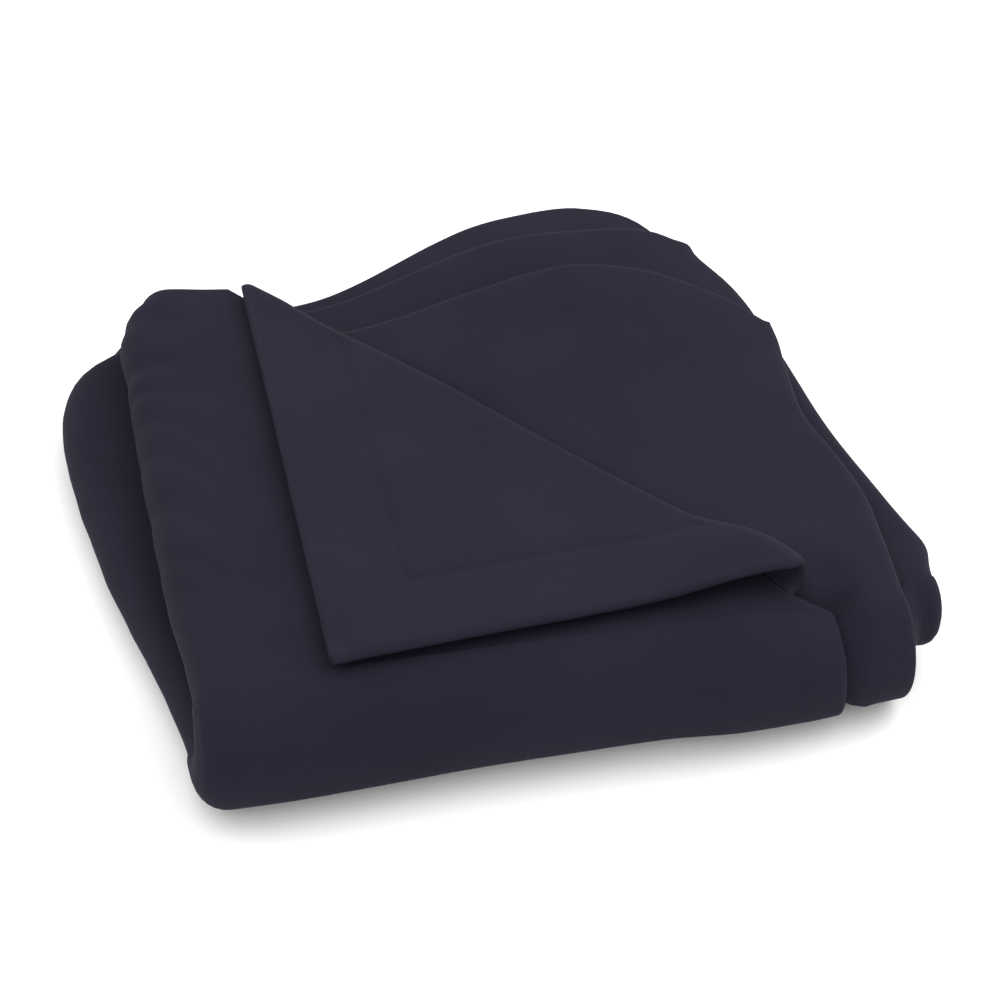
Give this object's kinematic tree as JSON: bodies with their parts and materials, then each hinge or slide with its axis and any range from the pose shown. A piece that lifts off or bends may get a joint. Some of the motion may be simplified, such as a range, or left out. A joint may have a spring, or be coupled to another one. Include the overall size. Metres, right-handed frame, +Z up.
{
  "type": "infrared sauna blanket",
  "caption": "Padded infrared sauna blanket folded into a flat square pile for storage, with a top corner turned back along a diagonal.",
  "frame": {"origin": "middle of the folded blanket's footprint, on the surface it lies on", "axes": "+X along the near fold to the viewer's right, +Y from the near fold to the open hems, +Z up"},
  "size_m": [0.569, 0.5274, 0.102],
  "materials": {
    "outer_cloth": "matt, finely woven polyester in very dark navy",
    "reverse_cloth": "matt, finely woven polyester in very dark navy, a shade lighter",
    "hem_cloth": "the outer cloth turned under and stitched",
    "wadding": "soft bonded polyester wadding, off-white",
    "foil": "bright metallised film",
    "heating_mat": "plain flame-retardant cloth",
    "heating_wire": "silicone sleeve over carbon fibre",
    "supply_ribbon": "flat insulated ribbon wire",
    "sensor_film": "polyimide film",
    "cutout_metal": "drawn can",
    "inlet_plastic": "moulded, finely textured",
    "contact_metal": "plated"
  },
  "bodies": {
    "lower_half": {"front_fold_cover_1": "outer_cloth", "front_fold_cover_2": "outer_cloth", "front_fold_cover_3": "outer_cloth", "front_fold_cover_4": "outer_cloth", "front_fold_lining_1": "reverse_cloth", "front_fold_lining_2": "reverse_cloth", "front_fold_lining_3": "reverse_cloth", "front_fold_lining_4": "reverse_cloth", "front_fold_padding_1": "wadding", "front_fold_padding_2": "wadding", "front_fold_padding_3": "wadding", "front_fold_padding_4": "wadding", "inlet_housing": "inlet_plastic", "inlet_lead": "heating_wire", "inlet_pin_1": "contact_metal", "inlet_pin_2": "contact_metal", "lower_cover": "outer_cloth", "lower_first_end_hem": "hem_cloth", "lower_foil": "foil", "lower_heating_mat": "heating_mat", "lower_heating_wire_1": "heating_wire", "lower_heating_wire_2": "heating_wire", "lower_heating_wire_3": "heating_wire", "lower_heating_wire_4": "heating_wire", "lower_lining": "reverse_cloth", "lower_second_end_hem": "hem_cloth", "lower_side_hem": "hem_cloth", "lower_supply_ribbon": "supply_ribbon", "lower_temperature_sensor": "sensor_film", "lower_thermal_cutout": "cutout_metal", "lower_wadding": "wadding"},
    "upper_half": {"corner_fold_cover": "outer_cloth", "corner_fold_lining": "reverse_cloth", "corner_fold_padding": "wadding", "upper_cover": "outer_cloth", "upper_foil": "foil", "upper_heating_mat": "heating_mat", "upper_heating_wire_1": "heating_wire", "upper_heating_wire_2": "heating_wire", "upper_heating_wire_3": "heating_wire", "upper_heating_wire_4": "heating_wire", "upper_lining": "reverse_cloth", "upper_second_end_hem": "hem_cloth", "upper_side_hem": "hem_cloth", "upper_supply_ribbon": "supply_ribbon", "upper_temperature_sensor": "sensor_film", "upper_thermal_cutout": "cutout_metal", "upper_wadding": "wadding"},
    "turned_corner": {"corner_cover": "outer_cloth", "corner_foil": "foil", "corner_heating_mat": "heating_mat", "corner_heating_wire": "heating_wire", "corner_hem": "hem_cloth", "corner_lining": "reverse_cloth", "corner_wadding": "wadding"}
  },
  "joints": [
    {"name": "half_fold", "type": "hinge", "parent": "lower_half", "child": "upper_half", "pos_m": [0, -0.21835, 0.0453], "axis": [1, 0, 0], "range_deg": [0, 180], "deforming": ["front_fold_cover_1", "front_fold_cover_2", "front_fold_cover_3", "front_fold_cover_4", "front_fold_lining_1", "front_fold_lining_2", "front_fold_lining_3", "front_fold_lining_4", "front_fold_padding_1", "front_fold_padding_2", "front_fold_padding_3", "front_fold_padding_4"]},
    {"name": "corner_fold", "type": "hinge", "parent": "upper_half", "child": "turned_corner", "pos_m": [0.17753, -0.19835, 0.0909], "axis": [-0.6254, 0.7803, 0], "range_deg": [0, 170], "deforming": ["corner_fold_cover", "corner_fold_lining", "corner_fold_padding"]}
  ]
}
